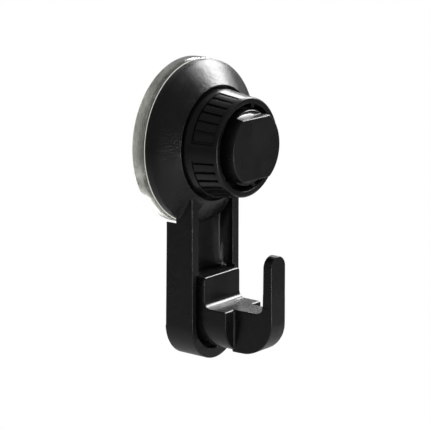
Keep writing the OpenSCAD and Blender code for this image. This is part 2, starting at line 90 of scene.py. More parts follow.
class ShaderGroup:
    """A shader node group with named inputs and outputs, built one node at a time."""

    def __init__(self, name: str, inputs: dict[str, float], outputs: Sequence[str]) -> None:
        """Makes the group's tree and its sockets.

        Args:
            name: The group's name.
            inputs: Each float input's name and default value.
            outputs: The names of the float outputs.
        """
        self.tree = bpy.data.node_groups.new(name, "ShaderNodeTree")
        coordinate = self.tree.interface.new_socket("Vector", in_out="INPUT", socket_type="NodeSocketVector")
        coordinate.hide_value = True
        for label, value in inputs.items():
            socket = self.tree.interface.new_socket(label, in_out="INPUT", socket_type="NodeSocketFloat")
            socket.default_value = value
        for label in outputs:
            self.tree.interface.new_socket(label, in_out="OUTPUT", socket_type="NodeSocketFloat")
        self.source = self.tree.nodes.new("NodeGroupInput").outputs
        self.sink = self.tree.nodes.new("NodeGroupOutput").inputs

    def noise(self, scale: object, detail: float, roughness: float = 0.5) -> bpy.types.NodeSocket:
        """Adds a noise texture on the group's vector and returns its value."""
        node = self.tree.nodes.new("ShaderNodeTexNoise")
        self.tree.links.new(self.source["Vector"], node.inputs["Vector"])
        self.wire(scale, node.inputs["Scale"])
        node.inputs["Detail"].default_value = detail
        node.inputs["Roughness"].default_value = roughness
        return node.outputs[0]

    def pits(self, scale: object) -> bpy.types.NodeSocket:
        """Adds a cell texture on the group's vector and returns the distance to each cell's centre."""
        node = self.tree.nodes.new("ShaderNodeTexVoronoi")
        self.tree.links.new(self.source["Vector"], node.inputs["Vector"])
        self.wire(scale, node.inputs["Scale"])
        return node.outputs["Distance"]

    def math(self, operation: str, first: object, second: object) -> bpy.types.NodeSocket:
        """Adds a math node and returns its value."""
        node = self.tree.nodes.new("ShaderNodeMath")
        node.operation = operation
        self.wire(first, node.inputs[0])
        self.wire(second, node.inputs[1])
        return node.outputs[0]

    def ramp(self, value: object, low: float, high: float) -> bpy.types.NodeSocket:
        """Adds a smooth step from 0 at low to 1 at high and returns it."""
        node = self.tree.nodes.new("ShaderNodeMapRange")
        node.interpolation_type = "SMOOTHSTEP"
        self.wire(value, node.inputs["Value"])
        node.inputs["From Min"].default_value = low
        node.inputs["From Max"].default_value = high
        return node.outputs[0]

    def wire(self, value: object, socket: bpy.types.NodeSocket) -> None:
        """Links a socket to an input, or sets the input to a plain number."""
        if isinstance(value, bpy.types.NodeSocket):
            self.tree.links.new(value, socket)
        else:
            socket.default_value = value


class SharedGroups:
    """The shader groups that more than one finish uses, each built once."""

    _built: dict[str, bpy.types.NodeTree] = {}

    @classmethod
    def mould_texture(cls) -> bpy.types.NodeTree:
        """The texture that a mould leaves: fine bumps with shallow pits between them."""
        if "mould" not in cls._built:
            group = ShaderGroup("mould_texture", {"Pitch": 0.0004, "Pits": 0.4}, ["Height", "Gloss"])
            scale = group.math("DIVIDE", 1.0, group.source["Pitch"])
            bumps = group.noise(scale, 3.0, 0.55)
            pits = group.math("MULTIPLY", group.pits(scale), group.source["Pits"])
            height = group.math("ADD", bumps, pits)
            group.wire(height, group.sink["Height"])
            group.wire(group.ramp(bumps, 0.35, 0.65), group.sink["Gloss"])
            cls._built["mould"] = group.tree
        return cls._built["mould"]

    @classmethod
    def flow_marks(cls) -> bpy.types.NodeTree:
        """Slow change over a moulding: where the melt cooled unevenly and where hands have been."""
        if "flow" not in cls._built:
            group = ShaderGroup("flow_marks", {"Size": 0.02}, ["Sheen", "Tone"])
            scale = group.math("DIVIDE", 1.0, group.source["Size"])
            slow = group.noise(scale, 2.0)
            quick = group.noise(group.math("MULTIPLY", scale, 3.7), 4.0, 0.6)
            group.wire(group.ramp(slow, 0.38, 0.62), group.sink["Sheen"])
            group.wire(group.ramp(quick, 0.3, 0.7), group.sink["Tone"])
            cls._built["flow"] = group.tree
        return cls._built["flow"]


class MaterialSheet:
    """One material's node tree, with a Principled shader and object coordinates ready."""

    def __init__(self, name: str) -> None:
        """Makes the material, empties its tree and adds the shader and the coordinates."""
        self.material = bpy.data.materials.new(name)
        self.material.use_nodes = True
        self.tree = self.material.node_tree
        self.tree.nodes.clear()
        self.shader = self.tree.nodes.new("ShaderNodeBsdfPrincipled")
        output = self.tree.nodes.new("ShaderNodeOutputMaterial")
        self.tree.links.new(self.shader.outputs[0], output.inputs["Surface"])
        self.place = self.tree.nodes.new("ShaderNodeTexCoord").outputs["Object"]

    def group(self, tree: bpy.types.NodeTree, **values: float) -> bpy.types.bpy_prop_collection:
        """Places a shared group on the object coordinates and returns its outputs."""
        node = self.tree.nodes.new("ShaderNodeGroup")
        node.node_tree = tree
        self.tree.links.new(self.place, node.inputs["Vector"])
        for label, value in values.items():
            node.inputs[label].default_value = value
        return node.outputs

    def between(self, low: float, high: float, share: bpy.types.NodeSocket) -> bpy.types.NodeSocket:
        """Adds a range that runs from low to high as a share runs from 0 to 1, and returns it."""
        node = self.tree.nodes.new("ShaderNodeMapRange")
        self.tree.links.new(share, node.inputs["Value"])
        node.inputs["To Min"].default_value = low
        node.inputs["To Max"].default_value = high
        return node.outputs[0]

    def mixed_colour(self, first: Colour, second: Colour, share: bpy.types.NodeSocket) -> bpy.types.NodeSocket:
        """Adds a mix of two colours and returns it."""
        node = self.tree.nodes.new("ShaderNodeMix")
        node.data_type = "RGBA"
        self.tree.links.new(share, node.inputs[0])
        node.inputs[6].default_value = first
        node.inputs[7].default_value = second
        return node.outputs[2]

    def bump(self, height: bpy.types.NodeSocket, distance: float, strength: float = 1.0) -> None:
        """Feeds a height to the shader's normal."""
        node = self.tree.nodes.new("ShaderNodeBump")
        node.inputs["Strength"].default_value = strength
        node.inputs["Distance"].default_value = distance
        self.tree.links.new(height, node.inputs["Height"])
        self.tree.links.new(node.outputs[0], self.shader.inputs["Normal"])

    def feed(self, socket: str, value: bpy.types.NodeSocket) -> None:
        """Links a value to one of the shader's inputs."""
        self.tree.links.new(value, self.shader.inputs[socket])


@dataclass(frozen=True)
class BlackMoulding:
    """Black moulded plastic, with the texture that its own mould left on it."""

    name: str
    slot: str
    grain: Grain
    shade: float = 0.011
    smooth: float = 0.22
    rough: float = 0.30

    def material(self) -> bpy.types.Material:
        """Builds the material.

        Returns:
            The finished material.
        """
        sheet = MaterialSheet(self.name)
        marks = sheet.group(SharedGroups.flow_marks(), Size=0.018)
        texture = sheet.group(SharedGroups.mould_texture(), Pitch=self.grain.pitch)
        dark = (self.shade * 0.85, self.shade * 0.85, self.shade * 0.88, 1.0)
        light = (self.shade * 1.2, self.shade * 1.18, self.shade * 1.18, 1.0)
        sheet.feed("Base Color", sheet.mixed_colour(dark, light, marks["Tone"]))
        sheet.feed("Roughness", sheet.between(self.smooth, self.rough, marks["Sheen"]))
        sheet.bump(texture["Height"], self.grain.depth)
        sheet.shader.inputs["IOR"].default_value = 1.5
        return sheet.material


@dataclass(frozen=True)
class ClearElastomer:
    """Clear soft plastic with a faint yellow-green body and slow ripples in its surface."""

    name: str = "clear_elastomer"
    slot: str = "clear_pad"
    tint: Colour = (0.96, 0.97, 0.89, 1.0)
    ripple_size: float = 8.0 * MM
    ripple_depth: float = 0.05 * MM

    def material(self) -> bpy.types.Material:
        """Builds the material.

        Returns:
            The finished material.
        """
        sheet = MaterialSheet(self.name)
        marks = sheet.group(SharedGroups.flow_marks(), Size=self.ripple_size)
        deep = tuple(0.94 * c for c in self.tint[:3]) + (1.0,)
        sheet.feed("Base Color", sheet.mixed_colour(deep, self.tint, marks["Sheen"]))
        sheet.feed("Roughness", sheet.between(0.1, 0.24, marks["Tone"]))
        sheet.bump(marks["Sheen"], self.ripple_depth, 0.4)
        sheet.shader.inputs["Transmission Weight"].default_value = 1.0
        sheet.shader.inputs["IOR"].default_value = 1.49
        return sheet.material


@dataclass(frozen=True)
class ZincPlate:
    """Bright zinc plate on a small steel screw."""

    name: str = "zinc_plate"
    slot: str = "zinc_screw"

    def material(self) -> bpy.types.Material:
        """Builds the material.

        Returns:
            The finished material.
        """
        sheet = MaterialSheet(self.name)
        marks = sheet.group(SharedGroups.flow_marks(), Size=0.002)
        texture = sheet.group(SharedGroups.mould_texture(), Pitch=0.0001)
        blue = (0.58, 0.60, 0.63, 1.0)
        straw = (0.66, 0.65, 0.60, 1.0)
        sheet.feed("Base Color", sheet.mixed_colour(blue, straw, marks["Sheen"]))
        sheet.feed("Roughness", sheet.between(0.28, 0.45, marks["Tone"]))
        sheet.bump(texture["Height"], 0.004 * MM)
        sheet.shader.inputs["Metallic"].default_value = 1.0
        return sheet.material


Finish = BlackMoulding | ClearElastomer | ZincPlate


def corner_arc(before: Point, corner: Point, after: Point, radius: float, steps: int) -> list[Point]:
    """Replaces one corner of an outline with an arc.

    Args:
        before: The outline's point before the corner.
        corner: The corner itself.
        after: The outline's point after the corner.
        radius: The arc's radius, shortened where the sides are too short for it.
        steps: The number of chords in the arc.

    Returns:
        The arc's points, or the corner alone where it has no radius.
    """
    here = Vector(corner)
    arriving = Vector(before) - here
    leaving = Vector(after) - here
    half = arriving.angle(leaving) / 2
    if radius <= 0 or half > math.radians(89.5):
        return [corner]
    reach = min(radius / math.tan(half), 0.49 * arriving.length, 0.49 * leaving.length)
    true_radius = reach * math.tan(half)
    bisector = (arriving.normalized() + leaving.normalized()).normalized()
    centre = here + bisector * (true_radius / math.sin(half))
    first = here + arriving.normalized() * reach - centre
    turn = first.angle_signed(here + leaving.normalized() * reach - centre)
    points = []
    for step in range(steps + 1):
        angle = -turn * step / steps
        x = first.x * math.cos(angle) - first.y * math.sin(angle)
        y = first.x * math.sin(angle) + first.y * math.cos(angle)
        points.append((centre.x + x, centre.y + y))
    return points


def rounded(corners: Sequence[tuple[float, float, float]], closed: bool, steps: int = 4) -> list[Point]:
    """Rounds the corners of an outline.

    Args:
        corners: Each corner as (radius from the axis, depth, radius of the rounding).
        closed: Whether the last corner joins the first.
        steps: The number of chords in each arc.

    Returns:
        The outline's points in order.
    """
    points: list[Point] = []
    last = len(corners) - 1
    for index, (r, depth, rounding) in enumerate(corners):
        if not closed and index in (0, last):
            points.append((r, depth))
            continue
        before = corners[index - 1][:2]
        after = corners[(index + 1) % len(corners)][:2]
        points.extend(corner_arc(before, (r, depth), after, rounding, steps))
    return points


def revolve(
    name: str,
    outline: Sequence[Point],
    angles: Sequence[float],
    closed: bool,
    radius_at: Callable[[float, float, float], float] | None = None,
) -> bpy.types.Mesh:
    """Turns an outline round the cup's axis.

    Args:
        name: The mesh's name.
        outline: Points as (radius, depth), in order along the outline.
        angles: The angles, in radians from +X towards +Z, at which the outline is placed.
        closed: Whether the last point joins the first. An open outline starts and ends on the axis.
        radius_at: Gives the radius for (radius, depth, angle), where the form isn't plainly round.

    Returns:
        A closed mesh whose faces point outwards.
    """
    shape = bmesh.new()
    rings: list[list[bmesh.types.BMVert]] = []
    for r, depth in outline:
        if r < 1e-7:
            rings.append([shape.verts.new((0.0, -depth, 0.0))])
            continue
        ring = []
        for angle in angles:
            true_r = radius_at(r, depth, angle) if radius_at else r
            ring.append(shape.verts.new((true_r * math.cos(angle), -depth, true_r * math.sin(angle))))
        rings.append(ring)
    pairs = list(zip(rings, rings[1:]))
    if closed:
        pairs.append((rings[-1], rings[0]))
    count = len(angles)
    for low, high in pairs:
        for k in range(count):
            following = (k + 1) % count
            corners = [low[k % len(low)], low[following % len(low)], high[following % len(high)], high[k % len(high)]]
            shape.faces.new(list(dict.fromkeys(corners)))
    bmesh.ops.recalc_face_normals(shape, faces=shape.faces)
    mesh = bpy.data.meshes.new(name)
    shape.to_mesh(mesh)
    shape.free()
    return mesh


def even_angles(count: int) -> list[float]:
    """Gives angles evenly spaced round a full turn."""
    return [math.tau * k / count for k in range(count)]


def new_piece(name: str, mesh: bpy.types.Mesh) -> bpy.types.Object:
    """Makes an object at the origin from a mesh and links it to the scene."""
    piece = bpy.data.objects.new(name, mesh)
    bpy.context.scene.collection.objects.link(piece)
    return piece


def baked(piece: bpy.types.Object) -> None:
    """Turns a piece and its modifiers into a plain mesh."""
    graph = bpy.context.evaluated_depsgraph_get()
    mesh = bpy.data.meshes.new_from_object(piece.evaluated_get(graph), preserve_all_data_layers=True, depsgraph=graph)
    piece.modifiers.clear()
    piece.data = mesh


def smooth_shaded(mesh: bpy.types.Mesh, sharp_above_deg: float) -> None:
    """Shades a mesh smoothly apart from the edges that turn by more than an angle."""
    mesh.shade_smooth()
    mesh.set_sharp_from_angle(angle=math.radians(sharp_above_deg))


@dataclass(frozen=True)
class SoftEdges:
    """How far the sharp edges of a moulding are rounded, where the faces beside them have the room."""

    width: float = 0.35 * MM
    segments: int = 3
    above_deg: float = 28.0
    same_line: float = 0.5

    def room(self, edge: bmesh.types.BMEdge, sharp: set[bmesh.types.BMEdge]) -> float:
        """Works out how far the rounding of one edge can spread.

        Args:
            edge: The edge to round.
            sharp: All the edges that are rounded.

        Returns:
            A width that is at most the wanted one.
        """
        along = (edge.verts[1].co - edge.verts[0].co).normalized()
        room = self.width
        for vert in edge.verts:
            for other in vert.link_edges:
                if other is edge:
                    continue
                far = other.other_vert(vert)
                spread = (far.co - vert.co).normalized().cross(along).length
                if other in sharp and spread < self.same_line:
                    continue
                shared = any(further in sharp for further in far.link_edges if further is not other)
                room = min(room, (0.45 if shared else 0.9) * other.calc_length() * spread)
        return room

    def lines(self, sharp: set[bmesh.types.BMEdge]) -> list[list[bmesh.types.BMEdge]]:
        """Groups the sharp edges that carry on from one another, so that a rounding keeps its width.

        Args:
            sharp: All the edges that are rounded.

        Returns:
            The groups, each edge in one of them.
        """
        left = set(sharp)
        groups = []
        while left:
            group = [left.pop()]
            for edge in group:
                along = (edge.verts[1].co - edge.verts[0].co).normalized()
                for other in (other for vert in edge.verts for other in vert.link_edges if other in left):
                    way = (other.verts[1].co - other.verts[0].co).normalized()
                    if way.cross(along).length < self.same_line:
                        left.discard(other)
                        group.append(other)
            groups.append(group)
        return groups

    def weighted_mesh(self, node: str, name: str) -> bpy.types.Mesh:
        """Copies a node's mesh, joins its loose triangles and marks each sharp edge with its share of the width.

        Args:
            node: The node's name.
            name: The new mesh's name.

        Returns:
            The new mesh.
        """
        shape = bmesh.new()
        shape.from_mesh(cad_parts[node].data)
        bmesh.ops.remove_doubles(shape, verts=shape.verts, dist=1e-6)
        bmesh.ops.dissolve_limit(
            shape, angle_limit=math.radians(0.4), verts=shape.verts, edges=shape.edges, use_dissolve_boundaries=False
        )
        for across in ((1.0, 0.0, 0.0), (0.0, 0.0, 1.0)):
            everything = [*shape.verts, *shape.edges, *shape.faces]
            bmesh.ops.bisect_plane(shape, geom=everything, dist=1e-5, plane_co=(0.0, 0.0, 0.0), plane_no=across)
        weight = shape.edges.layers.float.new("bevel_weight_edge")
        turn = math.radians(self.above_deg)
        sharp = {edge for edge in shape.edges if edge.is_convex and edge.calc_face_angle(0.0) > turn}
        for line in self.lines(sharp):
            width = min(self.room(edge, sharp) for edge in line)
            for edge in line:
                edge[weight] = width / self.width
        mesh = bpy.data.meshes.new(name)
        shape.to_mesh(mesh)
        shape.free()
        mesh.materials.clear()
        mesh.shade_smooth()
        return mesh

    def copy_of(self, node: str, name: str) -> bpy.types.Object:
        """Makes a piece with rounded edges from a node of the frame.

        Args:
            node: The node's name.
            name: The new piece's name.

        Returns:
            The new piece, with a plain mesh.
        """
        piece = new_piece(name, self.weighted_mesh(node, name))
        bevel = piece.modifiers.new("edges", "BEVEL")
        bevel.width = self.width
        bevel.segments = self.segments
        bevel.limit_method = "WEIGHT"
        bevel.use_clamp_overlap = False
        bevel.harden_normals = False
        weighted = piece.modifiers.new("normals", "WEIGHTED_NORMAL")
        weighted.keep_sharp = False
        baked(piece)
        return piece


@dataclass(frozen=True)
class FlowedEdges:
    """Rounding for a moulding whose edges meet in tight corners: its whole surface is woven anew and eased."""

    voxel: float = 0.24 * MM
    passes: int = 6
    strength: float = 0.5

    def copy_of(self, node: str, name: str) -> bpy.types.Object:
        """Makes a piece with rounded edges from a node of the frame.

        Args:
            node: The node's name.
            name: The new piece's name.

        Returns:
            The new piece, with a plain mesh.
        """
        shape = bmesh.new()
        shape.from_mesh(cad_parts[node].data)
        bmesh.ops.remove_doubles(shape, verts=shape.verts, dist=1e-6)
        mesh = bpy.data.meshes.new(name)
        shape.to_mesh(mesh)
        shape.free()
        mesh.materials.clear()
        piece = new_piece(name, mesh)
        woven = piece.modifiers.new("surface", "REMESH")
        woven.mode = "VOXEL"
        woven.voxel_size = self.voxel
        woven.use_smooth_shade = True
        eased = piece.modifiers.new("edges", "SMOOTH")
        eased.factor = self.strength
        eased.iterations = self.passes
        baked(piece)
        return piece


class FormTree:
    """A Geometry Nodes tree with named inputs, built one node at a time."""

    def __init__(self, name: str, numbers: dict[str, float], counts: dict[str, int]) -> None:
        """Makes the tree and its sockets.

        Args:
            name: The tree's name.
            numbers: Each float input's name and value.
            counts: Each whole-number input's name and value.
        """
        self.tree = bpy.data.node_groups.new(name, "GeometryNodeTree")
        interface = self.tree.interface
        interface.new_socket("Geometry", in_out="OUTPUT", socket_type="NodeSocketGeometry")
        interface.new_socket("Geometry", in_out="INPUT", socket_type="NodeSocketGeometry")
        self.settings: dict[str, object] = {}
        for label, value in numbers.items():
            socket = interface.new_socket(label, in_out="INPUT", socket_type="NodeSocketFloat")
            self.settings[socket.identifier] = float(value)
        for label, value in counts.items():
            socket = interface.new_socket(label, in_out="INPUT", socket_type="NodeSocketInt")
            self.settings[socket.identifier] = int(value)
        finish = interface.new_socket("Finish", in_out="INPUT", socket_type="NodeSocketMaterial")
        self.finish_identifier = finish.identifier
        self.source = self.tree.nodes.new("NodeGroupInput").outputs
        self.sink = self.tree.nodes.new("NodeGroupOutput").inputs

    def add(self, kind: str, **values: object) -> bpy.types.Node:
        """Adds a node and sets its inputs by name, with words in place of spaces."""
        node = self.tree.nodes.new(kind)
        for label, value in values.items():
            self.wire(value, node.inputs[label.replace("_", " ")])
        return node

    def wire(self, value: object, socket: bpy.types.NodeSocket) -> None:
        """Links a socket to an input, or sets the input to a plain value."""
        if isinstance(value, bpy.types.NodeSocket):
            self.tree.links.new(value, socket)
        else:
            socket.default_value = value

    def math(self, operation: str, first: object, second: object = 0.0) -> bpy.types.NodeSocket:
        """Adds a math node and returns its value."""
        node = self.tree.nodes.new("ShaderNodeMath")
        node.operation = operation
        self.wire(first, node.inputs[0])
        self.wire(second, node.inputs[1])
        return node.outputs[0]

    def point(self, x: object, y: object, z: object) -> bpy.types.NodeSocket:
        """Adds a vector of three values and returns it."""
        return self.add("ShaderNodeCombineXYZ", X=x, Y=y, Z=z).outputs[0]

    def finished(self, piece: bpy.types.Object, geometry: bpy.types.NodeSocket, finish: bpy.types.Material) -> None:
        """Ends the tree, runs it on a piece and leaves the piece with its result as a plain mesh.

        Args:
            piece: The piece whose mesh the tree is given.
            geometry: The geometry to realise.
            finish: The material of all of it.
        """
        real = self.add("GeometryNodeRealizeInstances", Geometry=geometry)
        dressed = self.add("GeometryNodeSetMaterial", Geometry=real.outputs[0], Material=self.source["Finish"])
        self.wire(dressed.outputs[0], self.sink["Geometry"])
        modifier = piece.modifiers.new("form", "NODES")
        modifier.node_group = self.tree
        for identifier, value in self.settings.items():
            modifier[identifier] = value
        modifier[self.finish_identifier] = finish
        baked(piece)


@dataclass(frozen=True)
class Bar:
    """A bar that stands on a surface of the knob and runs along it, with rounded ends."""

    back: Point
    front: Point
    height: float
    width: float
    draft: float
    edge: float
    root: float = 0.4 * MM
    end_l: float = 0.7 * MM
    end_share: float = 0.45
    stations: int = 6

    def sections(self) -> list[tuple[float, float]]:
        """Gives the bar's sections as (share of its length, scale), closer together at its ends."""
        length = math.dist(self.back, self.front)
        reach = self.end_l / length
        nose = []
        for step in range(self.stations + 1):
            share = step / self.stations
            scale = self.end_share + (1 - self.end_share) * math.sqrt(1 - (1 - share) ** 2)
            nose.append((reach * share, scale))
        return nose + [(1 - share, scale) for share, scale in reversed(nose)]

    def mesh(self, name: str) -> bpy.types.Mesh:
        """Builds the bar at the angle 0, on the +X side of the axis.

        Args:
            name: The mesh's name.

        Returns:
            A closed mesh whose faces point outwards.
        """
        way = math.copysign(1.0, self.height)
        half = self.width / 2
        foot = half + self.draft * (1 + self.root / abs(self.height))
        profile = rounded(
            [
                (-way * self.root, -foot, 0.0), (self.height, -half, self.edge),
                (self.height, half, self.edge), (-way * self.root, foot, 0.0),
            ],
            closed=True, steps=4,
        )
        shape = bmesh.new()
        rings = []
        for share, scale in self.sections():
            r = self.back[0] + (self.front[0] - self.back[0]) * share
            depth = self.back[1] + (self.front[1] - self.back[1]) * share
            rings.append([shape.verts.new((r + scale * out, -depth, scale * side)) for out, side in profile])
        count = len(profile)
        for low, high in zip(rings, rings[1:]):
            for k in range(count):
                shape.faces.new((low[k], low[(k + 1) % count], high[(k + 1) % count], high[k]))
        shape.faces.new(rings[0])
        shape.faces.new(rings[-1])
        bmesh.ops.recalc_face_normals(shape, faces=shape.faces)
        mesh = bpy.data.meshes.new(name)
        shape.to_mesh(mesh)
        shape.free()
        smooth_shaded(mesh, 35.0)
        return mesh

    def repeated(
        self, name: str, groups: int, per_group: int, start: float, pitch: float, finish: bpy.types.Material
    ) -> bpy.types.Object:
        """Places the bar round the axis in equal groups.

        Args:
            name: The piece's name.
            groups: The number of groups round the axis.
            per_group: The number of bars in each group.
            start: The angle of the first group's middle, in radians.
            pitch: The angle between two bars of a group, in radians.
            finish: The bars' material.

        Returns:
            The bars as one plain piece.
        """
        form = FormTree(name, {"Start": start, "Pitch": pitch}, {"Groups": groups, "Bars in a group": per_group})
        given = form.source
        total = form.math("MULTIPLY", given["Groups"], given["Bars in a group"])
        points = form.add("GeometryNodePoints", Count=total)
        index = form.add("GeometryNodeInputIndex").outputs[0]
        group = form.math("FLOOR", form.math("DIVIDE", index, given["Bars in a group"]))
        place = form.math("MODULO", index, given["Bars in a group"])
        middle = form.math("MULTIPLY", form.math("SUBTRACT", given["Bars in a group"], 1.0), 0.5)
        offset = form.math("MULTIPLY", form.math("SUBTRACT", place, middle), given["Pitch"])
        turn = form.math("DIVIDE", form.math("MULTIPLY", group, math.tau), given["Groups"])
        angle = form.math("ADD", form.math("ADD", given["Start"], turn), offset)
        spin = form.add(
            "FunctionNodeEulerToRotation", Euler=form.point(0.0, form.math("MULTIPLY", angle, -1.0), 0.0)
        )
        placed = form.add(
            "GeometryNodeInstanceOnPoints",
            Points=points.outputs[0], Instance=given["Geometry"], Rotation=spin.outputs[0],
        )
        piece = new_piece(name, self.mesh(name))
        form.finished(piece, placed.outputs[0], finish)
        return piece


def joined(name: str, pieces: Sequence[bpy.types.Object]) -> bpy.types.Object:
    """Joins pieces into the first of them and gives it a name."""
    with bpy.context.temp_override(active_object=pieces[0], selected_editable_objects=list(pieces)):
        bpy.ops.object.join()
    pieces[0].name = name
    return pieces[0]


@dataclass
class Piece:
    """What every finished piece of the object has: its name, its body, the node it stands for and its finish."""

    name: str
    body: str
    node: str
    finish: Finish

    def settle(self, piece: bpy.types.Object, material: bpy.types.Material) -> None:
        """Dresses a piece and ties it to its body.

        Args:
            piece: The finished object.
            material: Its material.
        """
        piece.data.materials.clear()
        piece.data.materials.append(material)
        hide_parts(self.node)
        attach(piece, self.body)
        LOG.info("%s rides on %s with %d faces", piece.name, self.body, len(piece.data.polygons))


@dataclass
class Moulding(Piece):
    """A rigid moulding whose form is the frame's own, with its edges rounded."""

    edges: SoftEdges | FlowedEdges = field(default_factory=SoftEdges)

    def build(self) -> bpy.types.Object:
        """Builds and settles the piece.

        Returns:
            The finished object.
        """
        piece = self.edges.copy_of(self.node, self.name)
        self.settle(piece, self.finish.material())
        return piece


@dataclass
class SuctionPad(Piece):
    """The clear pad: a flat sealing face, a thick rim, a thin web and the boss that the spindle pulls."""

    rim_t: float = 5.3 * MM
    web_t: float = 3.2 * MM
    boss_r: float = 13.0 * MM
    land_step: float = 0.25 * MM
    seat_r: float = 26.6 * MM
    slope_w: float = 2.5 * MM
    lip_r: float = 0.4 * MM
    edge_r: float = 0.8 * MM
    turn_steps: int = 180

    def outline(self, outer: float, boss_depth: float) -> list[Point]:
        """Draws half of the pad's section, from the middle of its face round to the middle of its boss.

        Args:
            outer: The pad's radius.
            boss_depth: The depth of the boss's face.

        Returns:
            The section's points as (radius, depth).
        """
        corners = [
            (0.0, 0.0, 0.0),
            (outer, 0.0, self.lip_r),
            (outer, self.rim_t - 2 * self.edge_r, self.edge_r),
            (outer - self.land_step, self.rim_t, self.lip_r),
            (self.seat_r, self.rim_t, self.edge_r),
            (self.seat_r - self.slope_w, self.web_t, self.edge_r),
            (self.boss_r, self.web_t, 2 * self.edge_r),
            (self.boss_r - self.edge_r / 2, boss_depth, self.lip_r),
            (0.0, boss_depth, 0.0),
        ]
        return rounded(corners, closed=False, steps=6)

    def build(self) -> bpy.types.Object:
        """Builds and settles the pad.

        Returns:
            The finished object.
        """
        low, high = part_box(self.node)
        boss_depth = -low.y
        section = self.outline(high.x, boss_depth)
        mesh = revolve(self.name, section, even_angles(self.turn_steps), closed=False)
        smooth_shaded(mesh, 40.0)
        piece = new_piece(self.name, mesh)
        piece.data.materials.append(self.finish.material())
        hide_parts(self.node)
        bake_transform(piece)
        LOG.info("%s follows %s and %s", piece.name, BASE, SPINDLE_BODY)
        return piece


